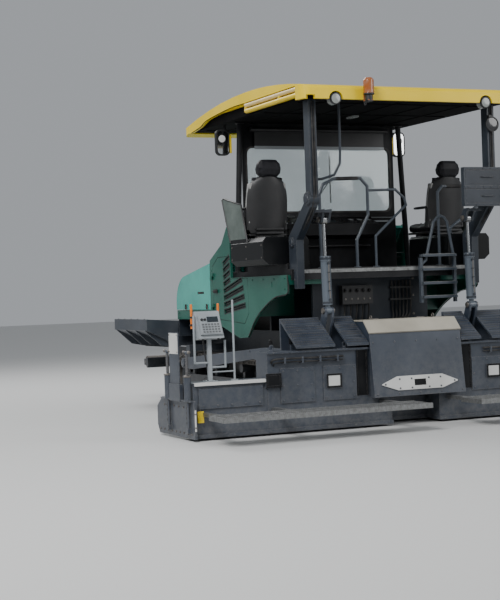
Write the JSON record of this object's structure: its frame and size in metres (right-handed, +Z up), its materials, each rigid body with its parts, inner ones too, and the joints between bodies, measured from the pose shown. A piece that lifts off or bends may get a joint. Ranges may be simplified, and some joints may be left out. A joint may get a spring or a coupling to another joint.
{
  "type": "tracked asphalt paver",
  "caption": "Tracked asphalt paver with a folding hopper, conveyor, augers, roofed operator's platform and a towed screed with sliding extensions.",
  "frame": {"origin": "on the ground below the middle of the machine's box", "axes": "+X forward in the direction of paving, +Y to the machine's left, +Z up"},
  "size_m": [6.6, 5.468, 3.83],
  "materials": {
    "frame_paint": "blue-grey machine paint, dusty",
    "hopper_paint": "dark green machine paint, worn",
    "engine": "dark engine paint",
    "track_rubber": "rubber pads on steel links",
    "wear_steel": "bare wear steel",
    "green_paint": "green machine paint",
    "hood_paint": "light green machine paint, glossy",
    "black_paint": "black textured paint",
    "rail_paint": "blue-grey machine paint, glossy",
    "seat_cover": "black vinyl",
    "screen_glass": "clear",
    "roof_gelcoat": "yellow gelcoat",
    "lining": "black lining",
    "lamp": "lamp lens and housing",
    "beacon_lens": "orange lens",
    "screed_paint": "blue-grey machine paint, tarred",
    "cream_paint": "cream paint, dusty",
    "white_paint": "pale paint",
    "galvanised": "galvanised grating",
    "console_paint": "light grey paint",
    "cylinder_paint": "light grey paint",
    "rod_chrome": "hard chrome"
  },
  "bodies": {
    "machine": {"chassis": "frame_paint", "engine_block": "engine", "track_left": "track_rubber", "track_right": "track_rubber", "undercarriage_left": "frame_paint", "undercarriage_right": "frame_paint", "conveyor": "wear_steel", "side_body_left": "green_paint", "side_body_right": "green_paint", "platform": "black_paint", "dash": "black_paint", "seat_left": "seat_cover", "seat_right": "seat_cover", "seat_pod_left": "black_paint", "seat_pod_right": "black_paint", "rear_posts": "frame_paint", "front_posts": "black_paint", "windscreen_frame": "black_paint", "windscreen_glass": "screen_glass", "roof": "roof_gelcoat", "roof_lining": "lining", "work_lamps": "lamp", "beacon": "beacon_lens", "mirrors": "black_paint", "handrails": "rail_paint", "ladder": "rail_paint", "auger_carrier": "frame_paint"},
    "side_door_left": {"side_door_left": "green_paint"},
    "side_door_right": {"side_door_right": "green_paint"},
    "hood": {"hood": "hood_paint"},
    "wing_left": {"wing_left": "hopper_paint"},
    "wing_right": {"wing_right": "hopper_paint"},
    "push_beam": {"push_beam": "frame_paint"},
    "push_roller_left": {"push_roller_left": "wear_steel"},
    "push_roller_right": {"push_roller_right": "wear_steel"},
    "auger_left": {"auger_left": "wear_steel"},
    "auger_right": {"auger_right": "wear_steel"},
    "screed": {"tow_arms": "screed_paint", "screed_base": "screed_paint", "centre_cover": "screed_paint", "cover_slope": "cream_paint", "cover_plate": "white_paint", "screed_steps": "galvanised"},
    "lift_barrel_left": {"lift_barrel_left": "cylinder_paint"},
    "lift_barrel_right": {"lift_barrel_right": "cylinder_paint"},
    "lift_rod_left": {"lift_rod_left": "rod_chrome"},
    "lift_rod_right": {"lift_rod_right": "rod_chrome"},
    "screed_left": {"extension_left": "screed_paint", "end_plate_left": "screed_paint", "footboard_left": "galvanised", "screed_console_left": "console_paint"},
    "screed_right": {"extension_right": "screed_paint", "end_plate_right": "screed_paint", "footboard_right": "galvanised", "screed_console_right": "console_paint"}
  },
  "joints": [
    {"name": "hood_lift", "type": "hinge", "parent": "machine", "child": "hood", "pos_m": [1.624, 0, 1.345], "axis": [0, 1, 0], "range_deg": [0, 40]},
    {"name": "side_door_left_swing", "type": "hinge", "parent": "machine", "child": "side_door_left", "pos_m": [0.313, 1.263, 1.5], "axis": [0, 0, -1], "range_deg": [0, 90]},
    {"name": "side_door_right_swing", "type": "hinge", "parent": "machine", "child": "side_door_right", "pos_m": [0.313, -1.263, 1.5], "axis": [0, 0, 1], "range_deg": [0, 90]},
    {"name": "wing_left_fold", "type": "hinge", "parent": "machine", "child": "wing_left", "pos_m": [2.405, 0.7405, 0.8], "axis": [1, 0, 0], "range_deg": [0, 50]},
    {"name": "wing_right_fold", "type": "hinge", "parent": "machine", "child": "wing_right", "pos_m": [2.405, -0.7405, 0.8], "axis": [-1, 0, 0], "range_deg": [0, 50]},
    {"name": "push_beam_swing", "type": "hinge", "parent": "machine", "child": "push_beam", "pos_m": [3.025, 0, 0.56], "axis": [0, 0, 1], "range_deg": [-5, 5]},
    {"name": "push_roller_left_spin", "type": "hinge", "parent": "push_beam", "child": "push_roller_left", "pos_m": [3.215, 0.57, 0.56], "axis": [0, 1, 0], "continuous": true},
    {"name": "push_roller_right_spin", "type": "hinge", "parent": "push_beam", "child": "push_roller_right", "pos_m": [3.215, -0.57, 0.56], "axis": [0, 1, 0], "continuous": true},
    {"name": "auger_left_spin", "type": "hinge", "parent": "machine", "child": "auger_left", "pos_m": [-1.625, 0.65, 0.42], "axis": [0, 1, 0], "continuous": true},
    {"name": "auger_right_spin", "type": "hinge", "parent": "machine", "child": "auger_right", "pos_m": [-1.625, -0.65, 0.42], "axis": [0, 1, 0], "continuous": true},
    {"name": "screed_lift", "type": "hinge", "parent": "machine", "child": "screed", "pos_m": [1.23, 0, 0.62], "axis": [0, 1, 0], "range_deg": [0, 5]},
    {"name": "lift_barrel_left_turn", "type": "hinge", "parent": "screed", "child": "lift_barrel_left", "pos_m": [-2.2, 0.93, 1.29], "axis": [0, 1, 0], "range_deg": [-9.6, 0]},
    {"name": "lift_rod_left_slide", "type": "slide", "parent": "lift_barrel_left", "child": "lift_rod_left", "axis": [0.04, 0, 0.9992], "range_m": [-0.3, 0]},
    {"name": "lift_barrel_right_turn", "type": "hinge", "parent": "screed", "child": "lift_barrel_right", "pos_m": [-2.2, -0.93, 1.29], "axis": [0, 1, 0], "range_deg": [-9.6, 0]},
    {"name": "lift_rod_right_slide", "type": "slide", "parent": "lift_barrel_right", "child": "lift_rod_right", "axis": [0.04, 0, 0.9992], "range_m": [-0.3, 0]},
    {"name": "screed_left_slide", "type": "slide", "parent": "screed", "child": "screed_left", "axis": [0, 1, 0], "range_m": [-0.28, 1.15]},
    {"name": "screed_right_slide", "type": "slide", "parent": "screed", "child": "screed_right", "axis": [0, -1, 0], "range_m": [-0.28, 1.15]}
  ],
  "couplings": [
    {"joint": "lift_barrel_left_turn", "follows": "screed_lift", "ratio": -1.8561},
    {"joint": "lift_rod_left_slide", "follows": "screed_lift", "m_per_rad": -3.4129},
    {"joint": "lift_barrel_right_turn", "follows": "screed_lift", "ratio": -1.8561},
    {"joint": "lift_rod_right_slide", "follows": "screed_lift", "m_per_rad": -3.4129}
  ]
}
